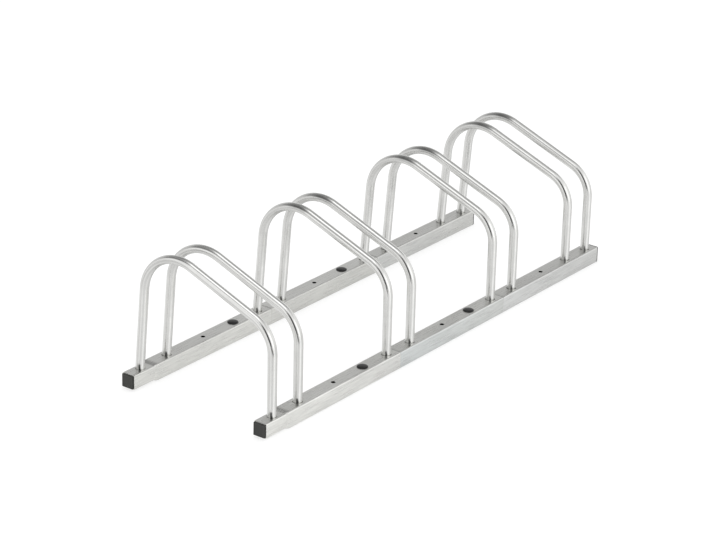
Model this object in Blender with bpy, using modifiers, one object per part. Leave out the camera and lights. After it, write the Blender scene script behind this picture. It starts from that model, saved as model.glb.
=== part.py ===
"""Side-by-side floor rack for bicycles, in zinc-plated steel tube.

Two square-tube rails lie on the floor. Each is made of equal sections, and every section's reduced left end
plugs into the open right end of the section before it. Round-tube hoops stand in the rails in pairs, and a
wheel is held between the two hoops of a pair. A hoop's leg goes down through the rail's top wall and stands,
on a threaded insert, on the bottom wall, where a countersunk screw pulls it down.

Metres, +Z up. +X runs along the rails, from the reduced left end to the open right end. +Y runs from the low
front of the hoops to their tall rear. The origin is on the floor, under the middle of the rack.
"""
import math

import bmesh
import bpy
from mathutils import Matrix, Vector

# Rails: square tube, and the distance between the two rails' centre lines
RAIL_SPACING = 0.284
RAIL_SIZE = 0.031
RAIL_WALL = 0.002
RAIL_INSIDE_CORNER = 0.001
SECTIONS = 3
SECTION_LENGTH = 0.307
TAPER_LENGTH = 0.004

# Leg holes: from a section's open end, and from its reduced end
LEG_FROM_OPEN_END = 0.021
LEG_FROM_REDUCED_END = 0.030
WHEEL_GAP = 0.0515

# Floor holes: past the middle of each bay, towards the open end
FLOOR_HOLE_OFFSET = 0.0075
FLOOR_HOLE_DIAMETER = 0.007

# Hoops: round tube, with heights above the leg ends, and radii on the centre line
TUBE_DIAMETER = 0.016
TUBE_WALL = 0.0012
FRONT_CORNER_HEIGHT = 0.1704
REAR_CORNER_HEIGHT = 0.2731
FRONT_BEND_RADIUS = 0.0587
REAR_BEND_RADIUS = 0.0757
REAR_LEAN = math.radians(4.2)

# Threaded inserts in the legs, and their screws
INSERT_FLANGE = 0.0015
INSERT_LENGTH = 0.0155
THREAD_DIAMETER = 0.006
SCREW_LENGTH = 0.016
SCREW_HEAD_DIAMETER = 0.012
SOCKET_ACROSS_FLATS = 0.004
SOCKET_DEPTH = 0.002

# Plastic end caps
CAP_FLANGE = 0.0027
CAP_EDGE_RADIUS = 0.0008
CAP_WALL = 0.0016
CAP_TO_LEG = 0.0035

# Plastic hole plugs
PLUG_RIM = 0.0015
PLUG_DOME = 0.0022
PLUG_STEM = 0.007
PLUG_WALL = 0.0014
PLUG_LIP = 0.0005

# Gaps: between pieces that touch, and round a leg in its hole
FIT_GAP = 0.0003
LEG_PLAY = 0.0005

# Facets: legs, screws and their holes have the same number, so that their flats line up
SIDES = 12
BEND_STEP = math.radians(14)
DOME_STEPS = 3

# Rails, worked out from the sizes above
RAIL_CORNER = RAIL_INSIDE_CORNER + RAIL_WALL
REDUCED_SIZE = RAIL_SIZE - 2 * (RAIL_WALL + FIT_GAP)
REDUCED_LENGTH = TAPER_LENGTH + LEG_FROM_OPEN_END + LEG_FROM_REDUCED_END
PITCH = SECTION_LENGTH + TAPER_LENGTH
RACK_LENGTH = 2 * (CAP_FLANGE + FIT_GAP) + REDUCED_LENGTH + (SECTIONS - 1) * PITCH + SECTION_LENGTH
LEFT_END = -RACK_LENGTH / 2
FIRST_START = LEFT_END + CAP_FLANGE + FIT_GAP + REDUCED_LENGTH
STARTS = [FIRST_START + PITCH * number for number in range(SECTIONS)]
RAIL_SIDES = {"front": -RAIL_SPACING / 2, "rear": RAIL_SPACING / 2}

# Holes along a section, from where its full size starts
HOOP_STEP = WHEEL_GAP + TUBE_DIAMETER
LEG_HOLE_RADIUS = TUBE_DIAMETER / 2 + LEG_PLAY
END_HOLE = SECTION_LENGTH - LEG_FROM_OPEN_END
SPARE_HOLE = END_HOLE - HOOP_STEP
JOINT_HOLE = END_HOLE - PITCH
START_HOLE = JOINT_HOLE + HOOP_STEP
LEG_HOLES = (JOINT_HOLE, START_HOLE, SPARE_HOLE, END_HOLE)
FLOOR_HOLE = (START_HOLE + SPARE_HOLE) / 2 + FLOOR_HOLE_OFFSET

# Heights above the floor; a leg in a joint stands on the walls of two sections
HEAD_BOTTOM = FIT_GAP
HEAD_TOP = HEAD_BOTTOM + (SCREW_HEAD_DIAMETER - THREAD_DIAMETER) / 2
SEAT_SINGLE = RAIL_WALL + FIT_GAP
SEAT_DOUBLE = SEAT_SINGLE + RAIL_WALL + FIT_GAP
LEG_ABOVE_SEAT = INSERT_FLANGE + FIT_GAP
STRAIGHT_LEG = RAIL_SIZE - SEAT_SINGLE - LEG_ABOVE_SEAT


def clear_scene():
    for old in list(bpy.data.objects):
        bpy.data.objects.remove(old)


def new_collection(name):
    made = bpy.data.collections.new(name)
    bpy.context.scene.collection.children.link(made)
    return made


def new_material(name, color, roughness, metallic):
    made = bpy.data.materials.new(name)
    made.use_nodes = True
    shader = made.node_tree.nodes["Principled BSDF"]
    shader.inputs["Base Color"].default_value = (*color, 1.0)
    shader.inputs["Roughness"].default_value = roughness
    shader.inputs["Metallic"].default_value = metallic
    return made


def add_object(name, data, collection, location=(0, 0, 0)):
    made = bpy.data.objects.new(name, data)
    made.location = location
    collection.objects.link(made)
    return made


def add_part(name, mesh, material, location):
    """One sub-part of the rack, shaded smooth where its faces meet at a low angle."""
    if not mesh.materials:
        mesh.materials.append(material)
        mesh.shade_smooth()
        mesh.set_sharp_from_angle(angle=math.radians(35))
    return add_object(name, mesh, PARTS, location)


def mesh_from(bm, name):
    bmesh.ops.recalc_face_normals(bm, faces=bm.faces)
    mesh = bpy.data.meshes.new(name)
    bm.to_mesh(mesh)
    bm.free()
    return mesh


def baked(source, name):
    """The evaluated mesh of an object, which is then removed."""
    bpy.context.view_layer.update()
    evaluated = source.evaluated_get(bpy.context.evaluated_depsgraph_get())
    mesh = bpy.data.meshes.new_from_object(evaluated)
    mesh.name = name
    bpy.data.objects.remove(source)
    return mesh


def boolean(target, mesh, operation):
    """Cut or join a mesh to an object; the other mesh stays in the file as a hidden guide."""
    guide = add_object(mesh.name, mesh, GUIDES, target.location)
    guide.hide_render = True
    guide.display_type = "WIRE"
    modifier = target.modifiers.new(mesh.name, "BOOLEAN")
    modifier.operation = operation
    modifier.object = guide


def hollowed(name, surface, wall):
    """An open surface given a wall on its inner side."""
    tube = add_object(name, surface, GUIDES)
    solidify = tube.modifiers.new("wall", "SOLIDIFY")
    solidify.thickness = wall
    solidify.offset = -1
    solidify.use_even_offset = True
    return baked(tube, name)


def turned(name, profile, sides=SIDES, closed=False):
    """A mesh turned about Z from (radius, height) points that run down its outer side."""
    bm = bmesh.new()
    verts = [bm.verts.new((radius, 0, height)) for radius, height in profile]
    for first, second in zip(verts, verts[1:]):
        bm.edges.new((first, second))
    if closed:
        bm.edges.new((verts[-1], verts[0]))
    outline = bpy.data.meshes.new(name)
    bm.to_mesh(outline)
    bm.free()
    source = add_object(name, outline, GUIDES)
    screw = source.modifiers.new("turn", "SCREW")
    screw.steps = sides
    screw.render_steps = sides
    bm = bmesh.new()
    bm.from_mesh(baked(source, name))
    bmesh.ops.remove_doubles(bm, verts=bm.verts, dist=0.00001)
    return mesh_from(bm, name)


def straight_cutter(name, radius, bottom, top, sides=SIDES):
    return turned(name, [(0, top), (radius, top), (radius, bottom), (0, bottom)], sides)


def copies_along(name, mesh, places, height):
    """Separate copies of a mesh at places along X, as one mesh."""
    bm = bmesh.new()
    for place in places:
        before = len(bm.verts)
        bm.from_mesh(mesh)
        bm.verts.ensure_lookup_table()
        bmesh.ops.translate(bm, vec=(place, 0, height), verts=bm.verts[before:])
    return mesh_from(bm, name)


def rounded_bar(start, end, size, corner):
    """A square bar along X with rounded long edges."""
    bm = bmesh.new()
    placing = Matrix.Translation(((start + end) / 2, 0, 0)) @ Matrix.Diagonal((end - start, size, size, 1))
    bmesh.ops.create_cube(bm, size=1, matrix=placing)
    long_edges = [edge for edge in bm.edges if edge.verts[0].co.x != edge.verts[1].co.x]
    bmesh.ops.bevel(bm, geom=long_edges, offset=corner, segments=3, profile=0.5, affect="EDGES")
    return bm


def countersink_radius(height):
    """Radius of the countersunk seat at a height above the floor, clear of the screw's head."""
    cone = SCREW_HEAD_DIAMETER / 2 - (height - HEAD_BOTTOM)
    return max(cone, THREAD_DIAMETER / 2) + FIT_GAP * math.sqrt(2)


def countersink_cutter():
    """Cutter for the bottom walls under a leg, with heights above the floor."""
    below = -FIT_GAP
    above = RAIL_SIZE / 2
    profile = [
        (0, above),
        (countersink_radius(above), above),
        (countersink_radius(HEAD_TOP), HEAD_TOP),
        (countersink_radius(below), below),
        (0, below),
    ]
    return turned("countersink", profile)


def section_mesh():
    """One rail section about the tube's axis, with X = 0 where its full size starts."""
    bm = rounded_bar(-REDUCED_LENGTH, SECTION_LENGTH, RAIL_SIZE, RAIL_CORNER)
    ends = [face for face in bm.faces if abs(face.normal.x) > 0.9]
    bmesh.ops.delete(bm, geom=ends, context="FACES_ONLY")
    for place in (0, -TAPER_LENGTH):
        everything = bm.verts[:] + bm.edges[:] + bm.faces[:]
        bmesh.ops.bisect_plane(bm, geom=everything, plane_co=(place, 0, 0), plane_no=(1, 0, 0))
    reduced = [vert for vert in bm.verts if vert.co.x < -TAPER_LENGTH / 2]
    factor = REDUCED_SIZE / RAIL_SIZE
    bmesh.ops.scale(bm, vec=(1, factor, factor), verts=reduced)
    section = add_object("section", hollowed("section", mesh_from(bm, "section"), RAIL_WALL), GUIDES)

    half = RAIL_SIZE / 2
    leg_hole = straight_cutter("leg_hole", LEG_HOLE_RADIUS, half, RAIL_SIZE + half)
    floor_hole = straight_cutter("floor_hole", FLOOR_HOLE_DIAMETER / 2, -half, RAIL_SIZE + half)
    boolean(section, copies_along("leg_holes", leg_hole, LEG_HOLES, -half), "DIFFERENCE")
    boolean(section, copies_along("countersinks", countersink_cutter(), LEG_HOLES, -half), "DIFFERENCE")
    boolean(section, copies_along("floor_holes", floor_hole, [FLOOR_HOLE], -half), "DIFFERENCE")
    return baked(section, "section")


def filleted(corners, radii):
    """A flat path through corners, with each inner corner rounded by its radius; 0 leaves it sharp."""
    path = [Vector(corners[0])]
    for before, corner, after, radius in zip(corners, corners[1:], corners[2:], radii):
        corner = Vector(corner)
        if not radius:
            path.append(corner)
            continue
        back = (Vector(before) - corner).normalized()
        ahead = (Vector(after) - corner).normalized()
        half = back.angle(ahead) / 2
        centre = corner + (back + ahead).normalized() * radius / math.sin(half)
        arm = corner + back * radius / math.tan(half) - centre
        sweep = math.copysign(math.pi - 2 * half, ahead.cross(back))
        steps = math.ceil(abs(sweep) / BEND_STEP)
        for step in range(steps + 1):
            path.append(centre + Matrix.Rotation(sweep * step / steps, 2) @ arm)
    path.append(Vector(corners[-1]))
    return path


def hoop_mesh():
    """One hoop, with its front leg's end at the origin, Y to the rear and Z up."""
    lean = (REAR_CORNER_HEIGHT - STRAIGHT_LEG) * math.tan(REAR_LEAN)
    corners = [
        (0, 0),
        (0, FRONT_CORNER_HEIGHT),
        (RAIL_SPACING - lean, REAR_CORNER_HEIGHT),
        (RAIL_SPACING, STRAIGHT_LEG),
        (RAIL_SPACING, 0),
    ]
    path = filleted(corners, [FRONT_BEND_RADIUS, REAR_BEND_RADIUS, 0])
    curve = bpy.data.curves.new("hoop", "CURVE")
    curve.dimensions = "3D"
    curve.bevel_depth = TUBE_DIAMETER / 2
    curve.bevel_resolution = SIDES // 2 - 2
    spline = curve.splines.new("POLY")
    spline.points.add(len(path) - 1)
    for point, place in zip(spline.points, path):
        point.co = (0, place.x, place.y, 1)
    return hollowed("hoop", baked(add_object("hoop", curve, GUIDES), "hoop"), TUBE_WALL)


def insert_mesh():
    """Threaded insert for a leg's end, with Z = 0 under its flange."""
    bore = THREAD_DIAMETER / 2 + FIT_GAP
    body = TUBE_DIAMETER / 2 - TUBE_WALL - FIT_GAP
    flange = TUBE_DIAMETER / 2
    mouth = countersink_radius(SEAT_SINGLE)
    profile = [
        (body, INSERT_LENGTH),
        (body, INSERT_FLANGE),
        (flange, INSERT_FLANGE),
        (flange, 0),
        (mouth, 0),
        (bore, mouth - bore),
        (bore, INSERT_LENGTH),
    ]
    return turned("leg_insert", profile, closed=True)


def screw_mesh():
    """Countersunk screw with a hexagon socket, at its height above the floor."""
    shank = THREAD_DIAMETER / 2
    head = SCREW_HEAD_DIAMETER / 2
    tip = HEAD_BOTTOM + SCREW_LENGTH
    profile = [(0, tip), (shank, tip), (shank, HEAD_TOP), (head, HEAD_BOTTOM), (0, HEAD_BOTTOM)]
    screw = add_object("leg_screw", turned("leg_screw", profile), GUIDES)
    to_corner = SOCKET_ACROSS_FLATS / 2 / math.cos(math.pi / 6)
    socket = straight_cutter("socket", to_corner, HEAD_BOTTOM - SOCKET_DEPTH, HEAD_BOTTOM + SOCKET_DEPTH, 6)
    boolean(screw, socket, "DIFFERENCE")
    return baked(screw, "leg_screw")


def cap_mesh(name, outside, to_leg):
    """End cap for a tube end: its flange's inner face is at X = 0, and its sleeve reaches along +X."""
    corner = RAIL_CORNER * outside / RAIL_SIZE
    bm = rounded_bar(-CAP_FLANGE, 0, outside, corner)
    rim = [edge for edge in bm.edges if all(vert.co.x < -CAP_FLANGE / 2 for vert in edge.verts)]
    bmesh.ops.bevel(bm, geom=rim, offset=CAP_EDGE_RADIUS, segments=2, profile=0.5, affect="EDGES")
    cap = add_object(name, mesh_from(bm, name), GUIDES)
    width = outside - 2 * (RAIL_WALL + FIT_GAP)
    length = to_leg - LEG_HOLE_RADIUS - CAP_TO_LEG
    sleeve = rounded_bar(-CAP_FLANGE / 2, length, width, corner - RAIL_WALL)
    hollow = rounded_bar(0, 2 * length, width - 2 * CAP_WALL, corner - RAIL_WALL)
    boolean(cap, mesh_from(sleeve, name + "_sleeve"), "UNION")
    boolean(cap, mesh_from(hollow, name + "_hollow"), "DIFFERENCE")
    return baked(cap, name)


def plug_mesh():
    """Domed plug for an unused leg hole, with Z = 0 under its rim."""
    rim = LEG_HOLE_RADIUS + PLUG_RIM
    stem = LEG_HOLE_RADIUS - FIT_GAP
    hollow = stem - PLUG_WALL
    ceiling = PLUG_DOME - PLUG_WALL
    snap = -RAIL_WALL - 2 * FIT_GAP
    profile = []
    for step in range(DOME_STEPS + 1):
        angle = math.pi / 2 * step / DOME_STEPS
        profile.append((rim * math.sin(angle), PLUG_DOME * math.cos(angle)))
    profile += [
        (stem, 0),
        (stem, snap),
        (stem + PLUG_LIP, snap - PLUG_LIP),
        (hollow + PLUG_LIP, -PLUG_STEM),
        (hollow, -PLUG_STEM),
        (hollow, ceiling),
        (0, ceiling),
    ]
    return turned("hole_plug", profile)


def hoop_places():
    """(number and letter, X, seat height) of every hoop."""
    places = []
    for number, start in enumerate(STARTS, 1):
        places.append((f"{number}a", start + JOINT_HOLE, SEAT_DOUBLE))
        places.append((f"{number}b", start + START_HOLE, SEAT_SINGLE))
    places.append((f"{SECTIONS + 1}a", STARTS[-1] + SPARE_HOLE, SEAT_SINGLE))
    places.append((f"{SECTIONS + 1}b", STARTS[-1] + END_HOLE, SEAT_SINGLE))
    return places


def make_rails(material):
    mesh = section_mesh()
    for side, y in RAIL_SIDES.items():
        for number, start in enumerate(STARTS, 1):
            add_part(f"{side}_rail_{number}", mesh, material, (start, y, RAIL_SIZE / 2))


def make_hoops(material):
    mesh = hoop_mesh()
    for name, x, seat in hoop_places():
        add_part(f"hoop_{name}", mesh, material, (x, RAIL_SIDES["front"], seat + LEG_ABOVE_SEAT))


def make_leg_fasteners(insert_material, screw_material):
    insert = insert_mesh()
    screw = screw_mesh()
    for side, y in RAIL_SIDES.items():
        for name, x, seat in hoop_places():
            add_part(f"insert_{side}_{name}", insert, insert_material, (x, y, seat))
            add_part(f"screw_{side}_{name}", screw, screw_material, (x, y, 0))


def make_end_caps(material):
    small = cap_mesh("small_cap", REDUCED_SIZE, LEG_FROM_REDUCED_END)
    large = cap_mesh("large_cap", RAIL_SIZE, LEG_FROM_OPEN_END)
    inner_face = LEFT_END + CAP_FLANGE
    for side, y in RAIL_SIDES.items():
        add_part(f"end_cap_{side}_left", small, material, (inner_face, y, RAIL_SIZE / 2))
        right = add_part(f"end_cap_{side}_right", large, material, (-inner_face, y, RAIL_SIZE / 2))
        right.rotation_euler.z = math.pi


def make_hole_plugs(material):
    mesh = plug_mesh()
    top = RAIL_SIZE + FIT_GAP
    for side, y in RAIL_SIDES.items():
        for number, start in enumerate(STARTS[:-1], 1):
            add_part(f"hole_plug_{side}_{number}", mesh, material, (start + SPARE_HOLE, y, top))


clear_scene()
PARTS = new_collection("bicycle_rack")
GUIDES = new_collection("cutters")
make_rails(new_material("zinc_plated_rail", (0.62, 0.62, 0.60), 0.32, 1.0))
make_hoops(new_material("zinc_plated_tube", (0.72, 0.72, 0.70), 0.25, 1.0))
make_leg_fasteners(
    new_material("steel_insert", (0.50, 0.50, 0.48), 0.40, 1.0),
    new_material("zinc_plated_screw", (0.66, 0.66, 0.64), 0.30, 1.0),
)
make_end_caps(new_material("black_plastic_cap", (0.060, 0.060, 0.058), 0.45, 0.0))
make_hole_plugs(new_material("black_plastic_plug", (0.020, 0.020, 0.020), 0.40, 0.0))
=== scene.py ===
"""Side-by-side floor rack for bicycles, in zinc-plated steel tube, on a white studio floor."""
import math

import bmesh
import bpy
from mathutils import Matrix, Vector


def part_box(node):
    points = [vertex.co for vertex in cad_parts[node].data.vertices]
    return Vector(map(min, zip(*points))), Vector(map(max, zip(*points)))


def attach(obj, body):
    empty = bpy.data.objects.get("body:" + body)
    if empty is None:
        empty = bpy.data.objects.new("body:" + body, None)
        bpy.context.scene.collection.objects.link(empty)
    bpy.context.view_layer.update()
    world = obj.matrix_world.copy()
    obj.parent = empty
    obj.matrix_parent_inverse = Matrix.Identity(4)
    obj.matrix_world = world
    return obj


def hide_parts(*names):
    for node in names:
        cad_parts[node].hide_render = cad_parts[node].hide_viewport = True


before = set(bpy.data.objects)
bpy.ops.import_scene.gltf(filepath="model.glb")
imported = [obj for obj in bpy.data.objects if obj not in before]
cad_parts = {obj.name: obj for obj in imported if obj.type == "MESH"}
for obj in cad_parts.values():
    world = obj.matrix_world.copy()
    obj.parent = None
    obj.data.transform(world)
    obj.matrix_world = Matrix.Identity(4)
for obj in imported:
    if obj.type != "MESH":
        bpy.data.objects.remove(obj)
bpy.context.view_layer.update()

bl_info = {
    "name": "Bicycle rack",
    "version": (1, 0, 0),
    "blender": (4, 5, 0),
    "location": "View3D > Sidebar > Rack",
    "description": "Builds a floor rack for four bicycles, with its studio",
    "category": "Add Mesh",
}

MM = 0.001
BODY = "root"
RAIL_SIDES = ("front", "rear")
SECTIONS = (1, 2, 3)
HOOPS = ("1a", "1b", "2a", "2b", "3a", "3b", "4a", "4b")

# Places along a section, in metres from where its full size starts, and the gap between fitted pieces
LEG_HOLES = (-0.025, 0.0425, 0.2185, 0.286)
FLOOR_HOLE = 0.138
FIT_GAP = 0.0003
# How far the tools that cut holes reach past the walls
CUT_REACH = 0.01
# Where a first section has swollen to its full size, and where the next ones have, which are driven up to it
FIRST_SHOULDER = 0.009
NEXT_SHOULDER = -0.0012

# Light of the studio room: (elevation in degrees, brightness), from straight down to straight up
ROOM_LEVELS = ((-90, 0.8), (-8, 0.9), (28, 0.84), (42, 0.66), (90, 0.66))
# Panels in the room: heading and half width, elevation and half height, soft edge, all in degrees, then brightness
ROOM_PANELS = {
    "right_wall": (84, 22, 50, 24, 10, 0.5),
    "right_window": (82, 16, 6, 16, 10, 1.2),
    "upper_back": (-5, 66, 53, 26.5, 6, 0.3),
    "left_wall": (-92, 26, 42, 13, 8, 0.58),
    "left_window": (-88, 34, 12, 17, 8, 1.04),
    "upper_front": (158, 52, 58, 15, 8, 0.8),
    "front_right_window": (152, 46, 16, 24, 6, 1.2),
    "dark_doorway": (-135, 18, 24, 32, 6, 0.08),
}
SOFTBOX_PLACE = (-0.38, -0.05, 1.9)
SOFTBOX_SIZE = (1.08, 1.1)
# Cards close to the rack, by their corners in metres, and their brightness; only reflections show them
CARDS = {
    "left_reflector": (((-0.63, -0.2, 0.3), (-0.63, 0.45, 0.3), (-0.63, 0.45, 0.48), (-0.63, -0.2, 0.48)), 1.2),
    # The dark card on the floor towards the camera is painted shade: it stands in for the shade that lies there, as
    # reflections show it
    "floor_shade_sheet": (((-0.57, -0.62, 0), (-0.85, -0.38, 0), (-3.5, -1.9, 0), (-2.7, -2.9, 0)), 0.1),
}
# How far the punch draws in the edges of the leg holes and the floor holes
HOLE_LIP = 0.0009
FLOOR_HOLE_LIP = 0.0005
# How much of a reduced end's edge shows round its cap
CAP_INSET = 0.0015
# Measures that more than one shape uses
CAP_FLANGE = 0.0027
PLUG_DOME = 0.0022
SCREW_SHANK = 0.003
FASTENER_EDGE = 0.0003
# The way round the hoops' tube, which scales its drawing lines
TUBE_GIRTH = 0.0503
# The slight bend over a rear foot leaves the tube round, and below the least bend a tube counts as straight
FOOT_RADIUS = 0.02
LEAST_BEND = 0.01
# Faces that meet at more than this show an edge
SHARP_EDGE = math.radians(35)
# How much of the zinc's red, green and blue a rail section's walls give back at its left and right ends, and its top:
# each section has a tone of its own, and the fade from end to end and the top's level are painted light and shade
RAIL_TONES_AND_LIGHT = {
    "front_rail_1": ((1.24, 1.24, 1.23), (1.06, 1.06, 1.06), 1.1),
    "front_rail_2": ((1.0, 1.04, 1.07), (0.94, 0.955, 0.96), 1.01),
    "front_rail_3": ((1.07, 1.08, 1.1), (0.91, 0.915, 0.925), 0.9),
    "rear_rail_1": ((1.09, 1.09, 1.08), (1.07, 1.07, 1.06), 1.08),
    "rear_rail_2": ((1.05, 1.05, 1.04), (0.95, 0.95, 0.94), 1.07),
    "rear_rail_3": ((0.95, 0.96, 0.97), (0.94, 0.94, 0.94), 0.95),
}
# Painted highlight and shade bands along a tube, which stand in for reflections: (share of the way from its right to
# its left, brightness)
PAINTED_TUBE_BANDS = ((0.0, 0.98), (0.34, 1.03), (0.39, 0.99), (0.43, 0.945), (0.48, 0.88), (0.52, 0.875), (0.57, 1.0),
              (0.61, 1.23), (0.65, 1.3), (0.7, 1.18), (0.74, 1.03), (0.79, 0.94), (0.83, 0.985), (0.88, 1.11),
              (0.92, 1.09), (0.965, 0.96), (1.0, 0.9))
# The same on the rear bend, as painted shade bands
BEND_SHADE_BANDS = ((0.0, 0.95), (0.35, 0.97), (0.5, 0.96), (0.58, 0.84), (0.66, 0.7), (0.72, 0.82), (0.78, 0.94),
              (0.86, 0.92), (0.92, 0.88), (1.0, 0.9))
# Painted shade on each leg's foot, a dark run that stands in for the shade reflected there: its top in the frame, its
# heading from +X to -Y and its spread, and its depth at the left and right ends of the row of hoops
FOOT_SHADE_TOP = 0.0407
FOOT_SHADE_HEADING = math.radians(150)
FOOT_SHADE_SPREAD = math.radians(13)
FOOT_SHADE_DARKEST = 0.93
FOOT_SHADE_LIGHTEST = 0.45
ROW_HALF = 0.47
# Painted shade on the rear bend, a dark mark: how far into the rear bend it centres, how far it reaches, and its
# heading, spread and depth; it grows to that depth between two heights, and from its least between two places along the
# row of hoops
BEND_SHADE_PLACE = 0.018
BEND_SHADE_REACH = 0.024
BEND_SHADE_HEADING = math.radians(141)
BEND_SHADE_SPREAD = math.radians(29)
BEND_SHADE_DEPTH = 0.5
BEND_SHADE_HEIGHTS = (0.1, 0.15)
BEND_SHADE_ROW = (-0.35, -0.2)
BEND_SHADE_LEAST = 0.1
# How steeply both painted shades fall off round the tube, and the rear bend's along it: from this value in the middle,
# cut off at 1
ROUND_FALL = 1.4
ALONG_FALL = 1.6


def linear(code):
    """An sRGB hex colour as linear values."""
    values = [int(code[place:place + 2], 16) / 255 for place in (1, 3, 5)]
    return [value / 12.92 if value <= 0.04045 else ((value + 0.055) / 1.055) ** 2.4 for value in values]


def length(name, metres, description):
    """A setting in metres."""
    return bpy.props.FloatProperty(
        name=name, description=description, default=metres, min=0.0, precision=5, subtype="DISTANCE", unit="LENGTH")


def angle(name, degrees, description):
    """A setting given in degrees."""
    return bpy.props.FloatProperty(
        name=name, description=description, default=math.radians(degrees), subtype="ANGLE", unit="ROTATION")


def colour(name, code, description):
    """A setting given as an sRGB hex colour."""
    return bpy.props.FloatVectorProperty(
        name=name, description=description, default=linear(code), size=3, min=0.0, max=1.0, subtype="COLOR")


def share(name, value, description, top=1.0):
    """A plain number from nothing to its top."""
    return bpy.props.FloatProperty(name=name, description=description, default=value, min=0.0, max=top)


class RackRailSizes(bpy.types.PropertyGroup):
    size: length("Rail size", 0.031, "Outside width of the square tube")
    wall: length("Rail wall", 0.002, "Wall of the square tube")
    corner: length("Rail corner", 0.003, "Outside corner radius of the square tube")
    section: length("Section length", 0.307, "Length of a section at its full size")
    reduced: length("Reduced length", 0.055, "Length of the reduced end, with its taper")
    taper: length("Taper length", 0.004, "Length over which a section grows to its full size")
    leg_hole: length("Leg hole", 0.017, "Diameter of the holes that the legs stand in")
    floor_hole: length("Floor hole", 0.007, "Diameter of the holes for floor screws")
    screw_seat: length("Screw seat", 0.0129, "Diameter of the countersunk seats under the legs")


class RackHoopSizes(bpy.types.PropertyGroup):
    tube: length("Tube diameter", 0.016, "Outside diameter of the hoops' tube")
    wall: length("Tube wall", 0.0012, "Wall of the hoops' tube")
    front_corner: length("Front corner", 0.1704, "Height of the front corner over the leg ends")
    rear_corner: length("Rear corner", 0.2731, "Height of the rear corner over the leg ends")
    front_radius: length("Front bend", 0.0587, "Radius of the front bend, on the tube's centre line")
    rear_radius: length("Rear bend", 0.0757, "Radius of the rear bend, on the tube's centre line")
    lean: angle("Rear lean", 4.2, "How far the rear leg leans forward")
    straight: length("Straight foot", 0.0269, "Length of the rear leg that stands upright in its rail")
    flattening: share("Flattening", 0.09, "How much of its thickness the tube loses in the middle of a bend")


class RackFinish(bpy.types.PropertyGroup):
    rail: colour("Rail zinc", "#D6D6D3", "Colour of the zinc on the rails")
    tube: colour("Hoop zinc", "#DDDDDB", "Colour of the zinc on the hoops")
    fastener: colour("Fastener zinc", "#D2D2CE", "Colour of the zinc on screws and inserts")
    cap: colour("Cap plastic", "#32322F", "Colour of the moulded end caps")
    plug: colour("Plug plastic", "#0F0F10", "Colour of the moulded hole plugs")


class RackStudio(bpy.types.PropertyGroup):
    floor: colour("Floor", "#B4B4B4", "Colour of the studio floor")
    floor_glow: share("Floor glow", 1.4, "Light that the floor gives off by itself", top=2.0)
    mirrored_glow: share("Mirrored glow", 1.06, "The same light, as bright metal mirrors it", top=2.0)
    overhead: share("Overhead light", 2.5, "Power of the soft light over the rack, in watts", top=2000.0)
    room: share("Room light", 0.95, "Soft light of the whole room on dull surfaces", top=4.0)
    lens: bpy.props.FloatProperty(
        name="Lens", description="Focal length of the camera", default=136.76, unit="CAMERA")
    place: bpy.props.FloatVectorProperty(
        name="Camera place", description="Where the camera stands", default=(-3.57034, -2.61991, 1.96875),
        size=3, subtype="TRANSLATION", unit="LENGTH")
    heading: angle("Heading", 53.3615, "Turn of the camera from +Y towards +X")
    dip: angle("Dip", 22.9014, "How far the camera looks down")
    roll: angle("Roll", -1.5954, "Turn of the camera about its own axis")


# ---------------------------------------------------------------- materials

def add_node(tree, kind, inputs=(), **settings):
    """A node with its settings, and its inputs set to values or linked to sockets."""
    node = tree.nodes.new(kind)
    for name, value in settings.items():
        setattr(node, name, value)
    for name, value in dict(inputs).items():
        if isinstance(value, bpy.types.NodeSocket):
            tree.links.new(value, node.inputs[name])
        else:
            node.inputs[name].default_value = value
    return node


def empty_tree(owner):
    """The emptied node tree of a material or a world."""
    owner.use_nodes = True
    owner.node_tree.nodes.clear()
    return owner.node_tree


def principled(name):
    """A new material, its node tree and the tree's Principled shader."""
    material = bpy.data.materials.new(name)
    tree = empty_tree(material)
    shader = add_node(tree, "ShaderNodeBsdfPrincipled")
    add_node(tree, "ShaderNodeOutputMaterial", {"Surface": shader.outputs["BSDF"]})
    return material, tree, shader


def noise(tree, place, size, detail=3.0, stretch=(1, 1, 1)):
    """Noise whose features are about size metres across, stretched along the axes."""
    scale = [1 / (size * factor) for factor in stretch]
    moved = add_node(tree, "ShaderNodeMapping", {"Vector": place, "Scale": scale})
    made = add_node(tree, "ShaderNodeTexNoise", {"Vector": moved.outputs["Vector"], "Scale": 1.0, "Detail": detail})
    return made.outputs["Fac"]


def mapped(tree, value, low, high, start=0.3, end=0.7):
    """A value that goes from low to high as another goes from start to end, by default over a noise's usual range."""
    made = add_node(tree, "ShaderNodeMapRange",
                    {"Value": value, "From Min": start, "From Max": end, "To Min": low, "To Max": high})
    return made.outputs["Result"]


def calculated(tree, operation, *values):
    """The result of a calculation with sockets or numbers."""
    made = add_node(tree, "ShaderNodeMath", enumerate(values), operation=operation)
    return made.outputs[0]


def separated(tree, vector):
    """The X, Y and Z sockets of a vector."""
    return add_node(tree, "ShaderNodeSeparateXYZ", {"Vector": vector}).outputs


def tinted(tree, base, *factors):
    """A base colour times grey factors."""
    result = factors[0]
    for factor in factors[1:]:
        result = calculated(tree, "MULTIPLY", result, factor)
    made = add_node(tree, "ShaderNodeVectorMath", {0: base, "Scale": result}, operation="SCALE")
    return made.outputs["Vector"]


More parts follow.
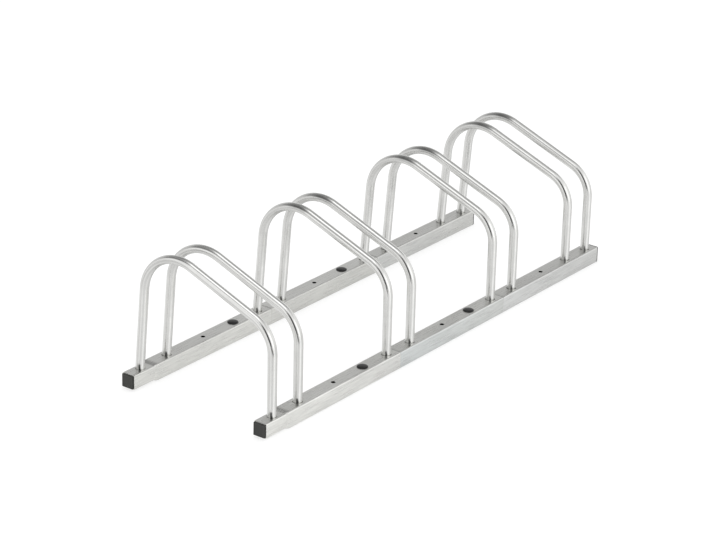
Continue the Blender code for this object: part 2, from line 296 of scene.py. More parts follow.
def zinc_plated_strip(base, tones_and_light, ends):
    """Bright zinc electroplate on rolled strip, formed to square tube: satin, with rolling lines along it.

    Each length takes a slightly different tone in the bath; its fade from end to end and its top's own level are
    painted light and shade.
    """
    material, tree, shader = principled("zinc_plated_strip")
    spot = add_node(tree, "ShaderNodeTexCoord").outputs
    place = spot["Object"]
    left, right, top = tones_and_light
    along = mapped(tree, separated(tree, place)["X"], 0, 1, *ends)
    painted_fade = add_node(tree, "ShaderNodeVectorMath", {0: along, 1: Vector(right) - Vector(left), 2: left},
                    operation="MULTIPLY_ADD").outputs["Vector"]
    # the top's level, painted light and shade, takes over where the rounded corner turns upward
    painted_top_mask = mapped(tree, separated(tree, spot["Normal"])["Z"], 0, 1, 0.6, 0.9)
    tone_and_light = add_node(tree, "ShaderNodeMix", {"Factor": painted_top_mask, 4: painted_fade, 5: (top,) * 3}, data_type="VECTOR")
    plated = add_node(tree, "ShaderNodeVectorMath", {0: tone_and_light.outputs[1], 1: base}, operation="MULTIPLY")
    # rolling lines are 0.2 mm apart on real strip; drawn 2.4 mm apart, so that they show
    lines = noise(tree, place, 2.4 * MM, stretch=(16, 1, 1))
    bloom = noise(tree, place, 28 * MM, stretch=(2.5, 1, 1), detail=2.0)
    grain = noise(tree, place, 0.9 * MM, detail=2.0)
    colours = tinted(tree, plated.outputs["Vector"], mapped(tree, lines, 0.9, 1.08), mapped(tree, bloom, 0.95, 1.04))
    tree.links.new(colours, shader.inputs["Base Color"])
    tree.links.new(mapped(tree, lines, 0.25, 0.36), shader.inputs["Roughness"])
    shader.inputs["Metallic"].default_value = 1.0
    bump = add_node(tree, "ShaderNodeBump", {"Height": calculated(tree, "ADD", lines, grain), "Strength": 0.35,
                                             "Distance": 0.02 * MM})
    tree.links.new(bump.outputs["Normal"], shader.inputs["Normal"])
    return material


def bare_steel_painted_shade():
    """Uncoated rolled steel, as the plating bath doesn't reach far into a tube; its near-black colour is also painted
    shade for the hollows that it covers.
    """
    material, tree, shader = principled("bare_steel_painted_shade")
    place = add_node(tree, "ShaderNodeTexCoord").outputs["Object"]
    scale = noise(tree, place, 4 * MM, stretch=(3, 1, 1))
    tree.links.new(tinted(tree, linear("#2B2A27"), mapped(tree, scale, 0.7, 1.2)), shader.inputs["Base Color"])
    tree.links.new(mapped(tree, scale, 0.5, 0.7), shader.inputs["Roughness"])
    shader.inputs["Metallic"].default_value = 1.0
    return material


def zinc_plated_tube(base):
    """Bright zinc electroplate on drawn round tube: a semi-gloss skin with drawing lines along it, with painted
    highlight and shade bands and painted shade marks.
    """
    material, tree, shader = principled("zinc_plated_tube")
    along = add_node(tree, "ShaderNodeUVMap", uv_map="tube").outputs["UV"]
    place = add_node(tree, "ShaderNodeTexCoord").outputs["Object"]
    # drawing lines are finer than 0.1 mm on real tube; drawn 1.3 mm apart, so that they show
    lines = noise(tree, along, 1.3 * MM, stretch=(45, 1 / TUBE_GIRTH, 1))
    bloom = noise(tree, place, 22 * MM, detail=2.0)
    from_left = calculated(tree, "ABSOLUTE", calculated(tree, "SUBTRACT", separated(tree, along)["Y"], 0.5))
    leftward = mapped(tree, from_left, 0, 1, 0.5, 0)
    # painted highlight and shade bands round the tube
    painted_bands = add_node(tree, "ShaderNodeValToRGB", {"Fac": leftward})
    set_ramp(painted_bands, PAINTED_TUBE_BANDS)
    # painted shade bands on the rear bend
    rubbed_and_shaded = add_node(tree, "ShaderNodeValToRGB", {"Fac": leftward})
    set_ramp(rubbed_and_shaded, BEND_SHADE_BANDS)
    wear = separated(tree, add_node(tree, "ShaderNodeUVMap", uv_map="wear").outputs["UV"])
    bend, painted_shade = wear["X"], wear["Y"]
    bend_wear_and_shade = add_node(tree, "ShaderNodeMix", {"Factor": bend, "A": 1.0, "B": rubbed_and_shaded.outputs["Color"]})
    spot = separated(tree, place)
    # painted shade on the legs' feet, deepest at the left of the row
    foot_shade = calculated(tree, "MULTIPLY", mapped(tree, spot["Z"], 1, 0, FOOT_SHADE_TOP - 3 * MM, FOOT_SHADE_TOP),
                      mapped(tree, spot["X"], FOOT_SHADE_DARKEST, FOOT_SHADE_LIGHTEST, -ROW_HALF, ROW_HALF))
    # painted shade on the rear bend, deeper higher up and further along +X
    bend_shade = calculated(tree, "MULTIPLY", mapped(tree, spot["Z"], 0, BEND_SHADE_DEPTH, *BEND_SHADE_HEIGHTS),
                      mapped(tree, spot["X"], BEND_SHADE_LEAST, 1, *BEND_SHADE_ROW))
    depth = calculated(tree, "ADD", foot_shade, bend_shade)
    # the painted shades darken the colour where the second UV map calls for them
    unshaded = calculated(tree, "SUBTRACT", 1.0, calculated(tree, "MULTIPLY", painted_shade, depth))
    colours = tinted(tree, base, mapped(tree, lines, 0.92, 1.06), mapped(tree, bloom, 0.96, 1.03),
                     painted_bands.outputs["Color"], bend_wear_and_shade.outputs["Result"], unshaded)
    tree.links.new(colours, shader.inputs["Base Color"])
    # rubbing dulls the bend
    dulled = calculated(tree, "MULTIPLY_ADD", bend, 0.06, mapped(tree, lines, 0.13, 0.19))
    tree.links.new(dulled, shader.inputs["Roughness"])
    shader.inputs["Metallic"].default_value = 1.0
    # fine polishing rings round the tube draw reflections out along it
    shader.inputs["Anisotropic"].default_value = 0.9
    tangent = add_node(tree, "ShaderNodeTangent", direction_type="UV_MAP", uv_map="tube")
    tree.links.new(tangent.outputs["Tangent"], shader.inputs["Tangent"])
    bump = add_node(tree, "ShaderNodeBump", {"Height": lines, "Strength": 0.2, "Distance": 0.01 * MM})
    tree.links.new(bump.outputs["Normal"], shader.inputs["Normal"])
    return material


def zinc_plated_turning(name, base, roughness):
    """Zinc electroplate on turned steel: satin, with fine rings from the tool."""
    material, tree, shader = principled(name)
    place = add_node(tree, "ShaderNodeTexCoord").outputs["Object"]
    rings = noise(tree, place, 0.4 * MM, stretch=(20, 20, 1))
    tree.links.new(tinted(tree, base, mapped(tree, rings, 0.92, 1.05)), shader.inputs["Base Color"])
    tree.links.new(mapped(tree, rings, roughness - 0.04, roughness + 0.06), shader.inputs["Roughness"])
    shader.inputs["Metallic"].default_value = 1.0
    return material


def moulded_polythene(name, base, roughness, grit):
    """Black polythene from a steel mould: satin, with the fine grit of the mould's face."""
    material, tree, shader = principled(name)
    place = add_node(tree, "ShaderNodeTexCoord").outputs["Object"]
    pits = noise(tree, place, grit, detail=4.0)
    cloud = noise(tree, place, 9 * MM, detail=2.0)
    tree.links.new(tinted(tree, base, mapped(tree, pits, 0.88, 1.12), mapped(tree, cloud, 0.92, 1.08)),
                   shader.inputs["Base Color"])
    tree.links.new(mapped(tree, pits, roughness - 0.06, roughness + 0.08), shader.inputs["Roughness"])
    shader.inputs["IOR"].default_value = 1.51
    bump = add_node(tree, "ShaderNodeBump", {"Height": pits, "Strength": 0.5, "Distance": 0.04 * MM})
    tree.links.new(bump.outputs["Normal"], shader.inputs["Normal"])
    return material


# ---------------------------------------------------------------- shapes

def add_object(name, data):
    """A new object in the scene."""
    made = bpy.data.objects.new(name, data)
    bpy.context.scene.collection.objects.link(made)
    return made


def mesh_from(bm, name):
    """A mesh from a bmesh, which is freed."""
    mesh = bpy.data.meshes.new(name)
    bm.to_mesh(mesh)
    bm.free()
    return mesh


def finish_piece(piece, materials, slot, *nodes):
    """Shade a piece, give it its materials, and tie it to the frame in place of CAD nodes."""
    mesh = piece.data
    for material in materials:
        mesh.materials.append(material)
    mesh.shade_smooth()
    mesh.set_sharp_from_angle(angle=SHARP_EDGE)
    weighted = piece.modifiers.new("flat faces stay flat", "WEIGHTED_NORMAL")
    weighted.keep_sharp = True
    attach(piece, BODY)
    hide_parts(*nodes)


def turned(profile, sides=64, closed=False):
    """A bmesh turned about Z from (radius, height) points, with no corner on an axis, where cut faces are split."""
    bm = bmesh.new()
    rings = []
    on_axis = 1e-7
    for radius, height in profile:
        if radius < on_axis:
            rings.append([bm.verts.new((0, 0, height))])
            continue
        ring = []
        for number in range(sides):
            turn = 2 * math.pi * (number + 0.5) / sides
            ring.append(bm.verts.new((radius * math.cos(turn), radius * math.sin(turn), height)))
        rings.append(ring)
    pairs = list(zip(rings, rings[1:]))
    if closed:
        pairs.append((rings[-1], rings[0]))
    for one, two in pairs:
        bridge(bm, one, two)
    bmesh.ops.recalc_face_normals(bm, faces=bm.faces)
    return bm


def bridge(bm, one, two):
    """Faces between two rings of vertices, where either ring may be a single point."""
    count = max(len(one), len(two))
    for number in range(count):
        after = (number + 1) % count
        corners = [one[number % len(one)], one[after % len(one)], two[after % len(two)], two[number % len(two)]]
        corners = list(dict.fromkeys(corners))
        bm.faces.new(corners)


def rounded(points, radius, steps=3):
    """Profile points with each corner inside them rounded by a small radius."""
    made = [points[0]]
    most = 0.45
    for before, corner, after in zip(points, points[1:], points[2:]):
        here = Vector(corner)
        back = Vector(before) - here
        ahead = Vector(after) - here
        # a short side is shared by the corners at its two ends
        reach = min(radius, back.length * most, ahead.length * most)
        start = here + back.normalized() * reach
        end = here + ahead.normalized() * reach
        for step in range(steps + 1):
            part = step / steps
            made.append(tuple(start.lerp(here, part).lerp(here.lerp(end, part), part)))
    made.append(points[-1])
    return made


def square_ring(size, corner, steps=8):
    """(y, z) points round a square with rounded corners, about its centre."""
    half = size / 2 - corner
    points = []
    for number, (side_y, side_z) in enumerate(((1, 1), (-1, 1), (-1, -1), (1, -1))):
        for step in range(steps + 1):
            turn = math.pi / 2 * (number + step / steps)
            points.append((side_y * half + corner * math.cos(turn), side_z * half + corner * math.sin(turn)))
    return points


def lofted(stations):
    """A bmesh through rings of (y, z) points at stations along X; the last ring joins the first."""
    bm = bmesh.new()
    rings = [[bm.verts.new((x, y, z)) for y, z in ring] for x, ring in stations]
    for one, two in zip(rings, rings[1:] + rings[:1]):
        bridge(bm, one, two)
    bmesh.ops.recalc_face_normals(bm, faces=bm.faces)
    return bm


def cutter(name, profile, places, sides=64):
    """An object to cut others with: one turned shape at several places along X."""
    joined = bmesh.new()
    for x in places:
        bm = turned(profile, sides)
        bmesh.ops.translate(bm, vec=(x, 0, 0), verts=bm.verts)
        single = mesh_from(bm, name)
        joined.from_mesh(single)
        bpy.data.meshes.remove(single)
    return add_object(name, mesh_from(joined, name))


def cut_mesh(source, tools):
    """The mesh that is left of an object when tools are cut out of it; all these objects are removed."""
    for tool in tools:
        modifier = source.modifiers.new(tool.name, "BOOLEAN")
        modifier.object = tool
        modifier.solver = "EXACT"
    bpy.context.view_layer.update()
    mesh = bpy.data.meshes.new_from_object(source.evaluated_get(bpy.context.evaluated_depsgraph_get()))
    for used in (source, *tools):
        bpy.data.objects.remove(used)
    return mesh


def clamped(value):
    """A value kept from 0 to 1."""
    return min(1.0, max(0.0, value))


def filleted(corners, radii, step_angle):
    """A flat path through corners with its corners rounded, as (point, how far into a bend) pairs."""
    path = [(Vector(corners[0]), 0.0)]
    for before, corner, after, radius in zip(corners, corners[1:], corners[2:], radii):
        corner = Vector(corner)
        back = (Vector(before) - corner).normalized()
        ahead = (Vector(after) - corner).normalized()
        half = back.angle(ahead) / 2
        centre = corner + (back + ahead).normalized() * radius / math.sin(half)
        arm = corner + back * radius / math.tan(half) - centre
        sweep = math.copysign(math.pi - 2 * half, ahead.cross(back))
        steps = max(2, math.ceil(abs(sweep) / step_angle))
        for step in range(steps + 1):
            bend = math.sin(math.pi * step / steps) if radius > FOOT_RADIUS else 0.0
            path.append((centre + Matrix.Rotation(sweep * step / steps, 2) @ arm, bend))
    path.append((Vector(corners[-1]), 0.0))
    return path


def hoop_path(sizes, spacing):
    """The centre line of a hoop in its own plane, from its front leg's end, with extra points on long runs."""
    bend_step, run_step = math.radians(2.5), 0.012
    lean = (sizes.rear_corner - sizes.straight) * math.tan(sizes.lean)
    corners = [
        (0, 0),
        (0, sizes.front_corner),
        (spacing - lean, sizes.rear_corner),
        (spacing, sizes.straight),
        (spacing, 0),
    ]
    path = filleted(corners, (sizes.front_radius, sizes.rear_radius, FOOT_RADIUS), bend_step)
    made = []
    for (here, bend), (there, _) in zip(path, path[1:]):
        parts = max(1, round((there - here).length / run_step))
        made += [(here.lerp(there, part / parts), bend) for part in range(parts)]
    return made + [path[-1]]


def hoop_mesh(sizes, spacing, around=40):
    """One bent tube with its wall, and two UV maps.

    The first holds metres along it and the share of the way round, the second how far into the rear bend it is, which
    dulls it and brings in its painted shade bands, and how much painted shade it takes.
    """
    path = hoop_path(sizes, spacing)
    bm = bmesh.new()
    outer, inner, run = [], [], [0.0]
    last = len(path) - 1
    side = Vector((1, 0, 0))
    for number, (here, bend) in enumerate(path):
        ahead = path[min(number + 1, last)][0] - path[max(number - 1, 0)][0]
        ahead.normalize()
        out = Vector((0, ahead.y, -ahead.x))
        if number:
            run.append(run[-1] + (here - path[number - 1][0]).length)
        flat = 1 - sizes.flattening * bend
        for rings, radius in ((outer, sizes.tube / 2), (inner, sizes.tube / 2 - sizes.wall)):
            ring = []
            for spoke in range(around):
                turn = 2 * math.pi * spoke / around
                offset = side * math.cos(turn) * radius * (2 - flat) + out * math.sin(turn) * radius * flat
                ring.append(bm.verts.new(Vector((0, here.x, here.y)) + offset))
            rings.append(ring)
    for rings in (outer, inner):
        for one, two in zip(rings, rings[1:]):
            bridge(bm, one, two)
    bridge(bm, outer[0], inner[0])
    bridge(bm, outer[-1], inner[-1])
    bmesh.ops.recalc_face_normals(bm, faces=bm.faces)
    tube_layer = bm.loops.layers.uv.new("tube")
    wear_and_shade_layer = bm.loops.layers.uv.new("wear")
    # the rear bend's rubbing and its painted shade rise over its length to its middle; the front bend is left without
    # them
    bend_wear_and_shade = [math.sqrt(bend) if here.x > spacing / 2 and bend > LEAST_BEND else 0.0 for here, bend in path]
    # where along the tube the painted shade on the rear bend centres
    bend_shade = BEND_SHADE_PLACE + next(run[number] for number, wear in enumerate(bend_wear_and_shade) if wear > 0)
    places = {}
    for rings in (outer, inner):
        for number, ring in enumerate(rings):
            # round the tube, spokes turn from +X towards +Y on the front leg and towards -Y on the rear leg
            here = path[number][0]
            low = here.y < sizes.front_corner / 2
            # painted shade on the feet, low on the legs, or painted shade on the rear bend, centred along it
            if low:
                heading, spread, strength = FOOT_SHADE_HEADING, FOOT_SHADE_SPREAD, 1.0
            else:
                heading, spread = BEND_SHADE_HEADING, BEND_SHADE_SPREAD
                strength = clamped(ALONG_FALL * (1 - abs(run[number] - bend_shade) / BEND_SHADE_REACH))
            if here.x < spacing / 2 or not low:
                heading = 2 * math.pi - heading
            for spoke, vert in enumerate(ring):
                off = abs(2 * math.pi * spoke / around - heading)
                places[vert] = (run[number], spoke, bend_wear_and_shade[number], strength * clamped(ROUND_FALL - off / spread))
    for face in bm.faces:
        spokes = [places[loop.vert][1] for loop in face.loops]
        wraps = max(spokes) - min(spokes) > 1
        for loop in face.loops:
            along, spoke, rubbed_and_shaded, painted_shade = places[loop.vert]
            if wraps and spoke == 0:
                spoke = around
            loop[tube_layer].uv = (along, spoke / around)
            loop[wear_and_shade_layer].uv = (rubbed_and_shaded, painted_shade)
    return mesh_from(bm, "hoop")


def section_mesh(sizes, shoulder):
    """One rail section about its axis, with X = 0 where its full size starts: a tube with its holes.

    Its second material, dark bare steel, is painted shade for the inside of the tube and the walls and lips of the
    floor holes.
    """
    end_band, least_corner, steps = 0.0003, 0.0004, 16
    shrink = 1 - 2 * (sizes.wall + FIT_GAP) / sizes.size
    outside = [(-sizes.reduced, shrink), (-sizes.reduced + end_band, shrink)]
    for step in range(steps + 1):
        # the swell rises fast and levels off into the full size
        ease = 1 - (1 - step / steps) ** 3
        outside.append((-sizes.taper + (sizes.taper + shoulder) * step / steps, shrink + (1 - shrink) * ease))
    outside.append((sizes.section, 1.0))
    stations = [(x, square_ring(sizes.size * scale, sizes.corner * scale)) for x, scale in outside]
    for x, scale in reversed(outside):
        corner = max(sizes.corner * scale - sizes.wall, least_corner)
        stations.append((x, square_ring(sizes.size * scale - 2 * sizes.wall, corner)))
    source = add_object("section", mesh_from(lofted(stations), "section"))

    # every cutter's cone goes on past the wall's face, so that the two share no plane
    half = sizes.size / 2
    reach = half + CUT_REACH
    leg = sizes.leg_hole / 2
    leg_mouth = leg + HOLE_LIP + FIT_GAP
    screw = SCREW_SHANK + FIT_GAP * math.sqrt(2)
    seat = sizes.screw_seat / 2
    seat_mouth = seat + FIT_GAP
    floor = sizes.floor_hole / 2
    floor_mouth = floor + FLOOR_HOLE_LIP + FIT_GAP
    leg_tool = [(0, reach), (leg_mouth, reach), (leg_mouth, half + FIT_GAP), (leg, half - HOLE_LIP), (leg, 0), (0, 0)]
    screw_tool = [(0, 0), (screw, 0), (screw, -half + seat - screw), (seat_mouth, -half - FIT_GAP),
                  (seat_mouth, -reach), (0, -reach)]
    floor_tool = [(0, reach), (floor_mouth, reach), (floor_mouth, half + FIT_GAP), (floor, half - FLOOR_HOLE_LIP),
                  (floor, -reach), (0, -reach)]
    mesh = cut_mesh(source, (cutter("leg_holes", leg_tool, LEG_HOLES), cutter("screw_holes", screw_tool, LEG_HOLES),
                             cutter("floor_hole", floor_tool, (FLOOR_HOLE,), sides=48)))
    # faces inside the tube and in the floor hole take the dark material, painted shade for these hollows
    mostly, wall_share = 0.9, 0.75
    for face in mesh.polygons:
        centre = face.center
        inward = centre.y * face.normal.y + centre.z * face.normal.z < 0
        near = max(abs(centre.y), abs(centre.z)) < half - sizes.wall * wall_share
        inside = inward and near and abs(face.normal.x) < mostly
        over_hole = math.hypot(centre.x - FLOOR_HOLE, centre.y) < floor + FLOOR_HOLE_LIP
        face.material_index = 1 if inside or (over_hole and face.normal.z < mostly) else 0
    return mesh


def insert_mesh(tube, wall):
    """Threaded insert for a leg's end, with Z = 0 under its flange."""
    bore, mouth, body, flange = 0.0033, 0.0044, tube / 2 - wall - FIT_GAP, tube / 2
    top, flange_top = 0.0155, 0.0015
    points = [(bore, top), (body, top), (body, flange_top), (flange, flange_top), (flange, 0), (mouth, 0),
              (bore, mouth - bore), (bore, top)]
    return mesh_from(turned(rounded(points, FASTENER_EDGE)[:-1], closed=True), "insert")


def screw_mesh():
    """Countersunk screw with a hexagon socket, at its height above the floor."""
    head, low = 0.006, FIT_GAP
    tip = low + 0.016
    points = [(0, tip), (SCREW_SHANK, tip), (SCREW_SHANK, low + head - SCREW_SHANK), (head, low), (0, low)]
    source = add_object("screw", mesh_from(turned(rounded(points, FASTENER_EDGE)), "screw"))
    key, depth, drill_point = 0.0023, 0.002, 0.0005
    socket = [(0, low + depth + drill_point), (key, low + depth), (key, low - depth), (0, low - depth)]
    return cut_mesh(source, (cutter("socket", socket, (0,), sides=6),))


def plug_mesh(hole, wall):
    """Domed plug for an unused leg hole, with Z = 0 under its rim."""
    rim, stem, skin = hole / 2 + 0.0015, hole / 2 - FIT_GAP, 0.0014
    under_rim, snap, barb, chamfer, bottom = 0.0002, -wall - 2 * FIT_GAP, 0.0005, 0.0009, -0.007
    steps, fullness = 12, 0.8
    points = []
    for step in range(steps + 1):
        turn = math.pi / 2 * step / steps
        points.append((rim * math.sin(turn), PLUG_DOME * math.cos(turn) ** fullness))
    points += [(rim - under_rim, 0), (stem, 0), (stem, snap), (stem + barb, snap - barb), (stem - chamfer, bottom),
               (stem - skin, bottom), (stem - skin, PLUG_DOME - skin), (0, PLUG_DOME - skin)]
    return mesh_from(turned(points), "plug")


def cap_mesh(outside, corner, sleeve, wall, bare):
    """End cap that leaves a border of the tube's end bare.

    Its flange ends at X = 0 against the tube, and its sleeve reaches along +X.
    """
    edge, skin, dish, border, slope = 0.0009, 0.0016, 0.00035, 0.0021, 0.0006
    middle, lead_in, least_corner, steps = 0.008, 0.0008, 0.0006, 8
    cover = outside / 2 - bare
    inner = outside / 2 - wall - FIT_GAP
    face = -CAP_FLANGE
    stations = [(face + dish, middle), (face + dish, cover - border - slope), (face, cover - border)]
    for step in range(steps + 1):
        turn = math.pi / 2 * step / steps
        stations.append((face + edge - edge * math.cos(turn), cover - edge + edge * math.sin(turn)))
    stations += [(0, cover), (0, inner), (sleeve - lead_in, inner), (sleeve, inner - slope), (sleeve, inner - skin),
                 (0, inner - skin), (0, middle)]
    bm = bmesh.new()
    rings = []
    for x, half in stations:
        radius = max(corner - (outside / 2 - half), least_corner)
        rings.append([bm.verts.new((x, y, z)) for y, z in square_ring(2 * half, min(radius, half))])
    for one, two in zip(rings, rings[1:]):
        bridge(bm, one, two)
    for ring in (rings[0], rings[-1]):
        bm.faces.new(ring)
    bmesh.ops.recalc_face_normals(bm, faces=bm.faces)
    return mesh_from(bm, "cap")


# ---------------------------------------------------------------- operators

class RACK_OT_studio(bpy.types.Operator):
    """Make the white floor, the soft studio light and the camera"""
    bl_idname = "rack.studio"
    bl_label = "Studio"

    def execute(self, context):
        studio = context.scene.rack_studio
        make_floor(studio)
        make_world(context.scene, studio)
        make_cards()
        make_light(studio)
        make_camera(context.scene, studio)
        context.scene.view_settings.view_transform = "Standard"
        return {"FINISHED"}


def make_floor(studio):
    """A white floor that gives off a little light by itself, just clear of the rails' undersides."""
    bm = bmesh.new()
    bmesh.ops.create_circle(bm, cap_ends=True, segments=96, radius=30)
    floor = add_object("studio_floor", mesh_from(bm, "studio_floor"))
    floor.location.z = -0.2 * MM
    material = bpy.data.materials.new("white_studio_floor")
    tree = empty_tree(material)
    paint = add_node(tree, "ShaderNodeBsdfDiffuse", {"Color": (*studio.floor, 1)})
    rays = add_node(tree, "ShaderNodeLightPath").outputs
    strength = mapped(tree, rays["Is Camera Ray"], studio.mirrored_glow, studio.floor_glow, 0, 1)
    glow = add_node(tree, "ShaderNodeEmission", {"Color": (*studio.floor, 1), "Strength": strength})
    bright = add_node(tree, "ShaderNodeAddShader", {0: paint.outputs[0], 1: glow.outputs[0]})
    seen = calculated(tree, "MAXIMUM", rays["Is Camera Ray"], rays["Is Glossy Ray"])
    seen = calculated(tree, "MAXIMUM", seen, rays["Is Transmission Ray"])
    shown = add_node(tree, "ShaderNodeMixShader", {"Fac": seen, 1: paint.outputs[0], 2: bright.outputs[0]})
    # seen from underneath, the floor is clear, so that the rack's underside can be looked at
    clear = add_node(tree, "ShaderNodeBsdfTransparent")
    side = add_node(tree, "ShaderNodeNewGeometry").outputs["Backfacing"]
    both = add_node(tree, "ShaderNodeMixShader", {"Fac": side, 1: shown.outputs[0], 2: clear.outputs[0]})
    add_node(tree, "ShaderNodeOutputMaterial", {"Surface": both.outputs[0]})
    floor.data.materials.append(material)


def make_world(scene, studio):
    """A pale room with soft bright and dark panels, which draw the lines on bright metal; the camera sees it white."""
    scene.world = bpy.data.worlds.new("studio_room")
    tree = empty_tree(scene.world)
    way = separated(tree, add_node(tree, "ShaderNodeTexCoord").outputs["Generated"])
    elevation = calculated(tree, "DEGREES", calculated(tree, "ARCSINE", way["Z"]))
    heading = calculated(tree, "DEGREES", calculated(tree, "ARCTAN2", way["X"], way["Y"]))
    ramp = add_node(tree, "ShaderNodeValToRGB", {"Fac": mapped(tree, elevation, 0, 1, -90, 90)})
    set_ramp(ramp, [((height + 90) / 180, level) for height, level in ROOM_LEVELS])
    light = ramp.outputs["Color"]
    for middle, half_width, height, half_height, edge, level in ROOM_PANELS.values():
        turned_by = calculated(tree, "WRAP", calculated(tree, "SUBTRACT", heading, middle), 180, -180)
        across = calculated(tree, "ABSOLUTE", turned_by)
        up = calculated(tree, "ABSOLUTE", calculated(tree, "SUBTRACT", elevation, height))
        inside = calculated(tree, "MULTIPLY",
                            mapped(tree, across, 1, 0, half_width - edge / 2, half_width + edge / 2),
                            mapped(tree, up, 1, 0, half_height - edge / 2, half_height + edge / 2))
        light = add_node(tree, "ShaderNodeMix", {"Factor": inside, "A": light, "B": level}).outputs["Result"]
    rays = add_node(tree, "ShaderNodeLightPath").outputs
    for ray, level in (("Is Diffuse Ray", studio.room), ("Is Transmission Ray", 1.0), ("Is Camera Ray", 1.0)):
        light = add_node(tree, "ShaderNodeMix", {"Factor": rays[ray], "A": light, "B": level}).outputs["Result"]
    back = add_node(tree, "ShaderNodeBackground", {"Color": light, "Strength": 1.0})
    add_node(tree, "ShaderNodeOutputWorld", {"Surface": back.outputs[0]})


def make_cards():
    """The cards that only reflections show."""
    for name, (corners, level) in CARDS.items():
        bm = bmesh.new()
        bm.faces.new([bm.verts.new(corner) for corner in corners])
        card = add_object(name, mesh_from(bm, name))
        material = bpy.data.materials.new(name)
        tree = empty_tree(material)
        glow = add_node(tree, "ShaderNodeEmission", {"Color": (level, level, level, 1), "Strength": 1.0})
        add_node(tree, "ShaderNodeOutputMaterial", {"Surface": glow.outputs[0]})
        card.data.materials.append(material)
        card.visible_camera = False
        card.visible_diffuse = False
        card.visible_shadow = False


def set_ramp(node, stops):
    """Grey stops on a colour ramp."""
    elements = node.color_ramp.elements
    while len(elements) > 1:
        elements.remove(elements[-1])
    elements[0].position = stops[0][0]
    elements[0].color = (stops[0][1],) * 3 + (1,)
    for place, level in stops[1:]:
        elements.new(place).color = (level,) * 3 + (1,)


def make_light(studio):
    """The softbox over the rack."""
    lamp = bpy.data.lights.new("overhead_softbox", "AREA")
    lamp.shape = "RECTANGLE"
    lamp.size, lamp.size_y = SOFTBOX_SIZE
    lamp.energy = studio.overhead
    softbox = add_object("overhead_softbox", lamp)
    softbox.location = SOFTBOX_PLACE


def make_camera(scene, studio):
    """The camera, placed by its heading, its dip and its roll."""
    data = bpy.data.cameras.new("photo_camera")
    data.sensor_width = 36
    data.lens = studio.lens
    data.clip_end = 100
    camera = add_object("photo_camera", data)
    level = math.cos(studio.dip)
    ahead = Vector((math.sin(studio.heading) * level, math.cos(studio.heading) * level, -math.sin(studio.dip)))
    right = Vector((math.cos(studio.heading), -math.sin(studio.heading), 0))
    down = ahead.cross(right)
    turned_right = right * math.cos(studio.roll) + down * math.sin(studio.roll)
    turned_down = down * math.cos(studio.roll) - right * math.sin(studio.roll)
    turn = Matrix((turned_right, -turned_down, -ahead)).transposed().to_4x4()
    camera.matrix_world = Matrix.Translation(studio.place) @ turn
    scene.camera = camera


class RACK_OT_rails(bpy.types.Operator):
    """Make the six plug-together rail sections"""
    bl_idname = "rack.rails"
    bl_label = "Rail sections"

    def execute(self, context):
        sizes = context.scene.rack_rails
        # the dark inside material is painted shade for the tube's inside and the floor holes
        inside = bare_steel_painted_shade()
        first = section_mesh(sizes, FIRST_SHOULDER)
        following = section_mesh(sizes, NEXT_SHOULDER)
        for side in RAIL_SIDES:
            for number in SECTIONS:
                node = f"{side}_rail_{number}"
                low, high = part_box(node)
                mesh = first if number == SECTIONS[0] else following
                piece = add_object(f"zinc_rail_{side}_{number}", mesh.copy())
                piece.data.transform(Matrix.Translation(
                    (high.x - sizes.section, (low.y + high.y) / 2, (low.z + high.z) / 2)))
                plated = zinc_plated_strip(context.scene.rack_finish.rail, RAIL_TONES_AND_LIGHT[node], (low.x, high.x))
                finish_piece(piece, (plated, inside), "zinc_plated_rail", node)
        return {"FINISHED"}


class RACK_OT_hoops(bpy.types.Operator):
    """Make the eight bent tube hoops"""
    bl_idname = "rack.hoops"
    bl_label = "Hoops"

    def execute(self, context):
        sizes = context.scene.rack_hoops
        material = zinc_plated_tube(context.scene.rack_finish.tube)
        low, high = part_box("hoop_1a")
        mesh = hoop_mesh(sizes, high.y - low.y - sizes.tube)
        for name in HOOPS:
            low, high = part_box(f"hoop_{name}")
            piece = add_object(f"zinc_hoop_{name}", mesh.copy())
            piece.data.transform(Matrix.Translation(((low.x + high.x) / 2, low.y + sizes.tube / 2, low.z)))
            finish_piece(piece, (material,), "zinc_plated_tube", f"hoop_{name}")
        return {"FINISHED"}


class RACK_OT_fasteners(bpy.types.Operator):
    """Make the threaded inserts in the legs and the screws under them"""
    bl_idname = "rack.fasteners"
    bl_label = "Inserts and screws"

    def execute(self, context):
        finish = context.scene.rack_finish
        hoops = context.scene.rack_hoops
        insert_material = zinc_plated_turning("zinc_plated_insert", finish.fastener, roughness=0.34)
        screw_material = zinc_plated_turning("zinc_plated_screw", finish.fastener, roughness=0.28)
        insert = insert_mesh(hoops.tube, hoops.wall)
        screw = screw_mesh()
        for side in RAIL_SIDES:
            for name in HOOPS:
                for kind, mesh, material, slot in (
                        ("insert", insert, insert_material, "steel_insert"),
                        ("screw", screw, screw_material, "zinc_plated_screw")):
                    node = f"{kind}_{side}_{name}"
                    low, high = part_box(node)
                    bottom = low.z if kind == "insert" else 0
                    piece = add_object(f"zinc_{node}", mesh.copy())
                    piece.data.transform(Matrix.Translation(((low.x + high.x) / 2, (low.y + high.y) / 2, bottom)))
                    finish_piece(piece, (material,), slot, node)
        return {"FINISHED"}


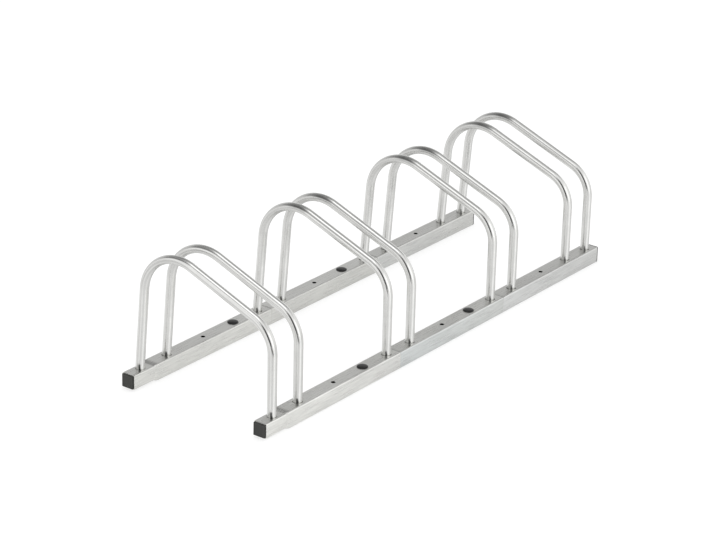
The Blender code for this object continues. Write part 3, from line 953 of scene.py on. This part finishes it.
class RACK_OT_end_caps(bpy.types.Operator):
    """Make the plastic caps in the rails' ends"""
    bl_idname = "rack.end_caps"
    bl_label = "End caps"

    def execute(self, context):
        rails = context.scene.rack_rails
        material = moulded_polythene("black_polythene_cap", context.scene.rack_finish.cap,
                                     roughness=0.45, grit=0.5 * MM)
        for side in RAIL_SIDES:
            for end in ("left", "right"):
                node = f"end_cap_{side}_{end}"
                low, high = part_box(node)
                outside = high.y - low.y
                sleeve = high.x - low.x - CAP_FLANGE
                corner = rails.corner * outside / rails.size
                if end == "left":
                    bare, turn, flange_end = CAP_INSET, 0, low.x + CAP_FLANGE
                else:
                    bare, turn, flange_end = 0.0, math.pi, high.x - CAP_FLANGE
                mesh = cap_mesh(outside, corner, sleeve, rails.wall, bare)
                piece = add_object(f"black_{node}", mesh)
                place = Matrix.Translation((flange_end, (low.y + high.y) / 2, (low.z + high.z) / 2))
                mesh.transform(place @ Matrix.Rotation(turn, 4, "Z"))
                finish_piece(piece, (material,), "black_plastic_cap", node)
        return {"FINISHED"}


class RACK_OT_hole_plugs(bpy.types.Operator):
    """Make the domed plugs in the unused leg holes"""
    bl_idname = "rack.hole_plugs"
    bl_label = "Hole plugs"

    def execute(self, context):
        rails = context.scene.rack_rails
        material = moulded_polythene("black_polythene_plug", context.scene.rack_finish.plug,
                                     roughness=0.36, grit=0.4 * MM)
        mesh = plug_mesh(rails.leg_hole, rails.wall)
        for side in RAIL_SIDES:
            for number in SECTIONS[:-1]:
                node = f"hole_plug_{side}_{number}"
                low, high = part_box(node)
                piece = add_object(f"black_{node}", mesh.copy())
                piece.data.transform(Matrix.Translation(
                    ((low.x + high.x) / 2, (low.y + high.y) / 2, high.z - PLUG_DOME)))
                finish_piece(piece, (material,), "black_plastic_plug", node)
        return {"FINISHED"}


class RACK_PT_panel(bpy.types.Panel):
    """The rack's pieces, sizes and colours"""
    bl_idname = "RACK_PT_panel"
    bl_label = "Bicycle rack"
    bl_space_type = "VIEW_3D"
    bl_region_type = "UI"
    bl_category = "Rack"

    def draw(self, context):
        for operator in OPERATORS:
            self.layout.operator(operator.bl_idname)
        for name, group in GROUPS.items():
            box = self.layout.box()
            for setting in group.__annotations__:
                box.prop(getattr(context.scene, name), setting)


GROUPS = {
    "rack_rails": RackRailSizes,
    "rack_hoops": RackHoopSizes,
    "rack_finish": RackFinish,
    "rack_studio": RackStudio,
}
OPERATORS = (RACK_OT_studio, RACK_OT_rails, RACK_OT_hoops, RACK_OT_fasteners, RACK_OT_end_caps, RACK_OT_hole_plugs)


def register():
    for made in (*GROUPS.values(), *OPERATORS, RACK_PT_panel):
        bpy.utils.register_class(made)
    for name, group in GROUPS.items():
        setattr(bpy.types.Scene, name, bpy.props.PointerProperty(type=group))


def unregister():
    for name in GROUPS:
        delattr(bpy.types.Scene, name)
    for made in reversed((*GROUPS.values(), *OPERATORS, RACK_PT_panel)):
        bpy.utils.unregister_class(made)


def main():
    register()
    bpy.ops.rack.rails()
    bpy.ops.rack.hoops()
    bpy.ops.rack.fasteners()
    bpy.ops.rack.end_caps()
    bpy.ops.rack.hole_plugs()
    bpy.ops.rack.studio()


if __name__ == "__main__":
    main()
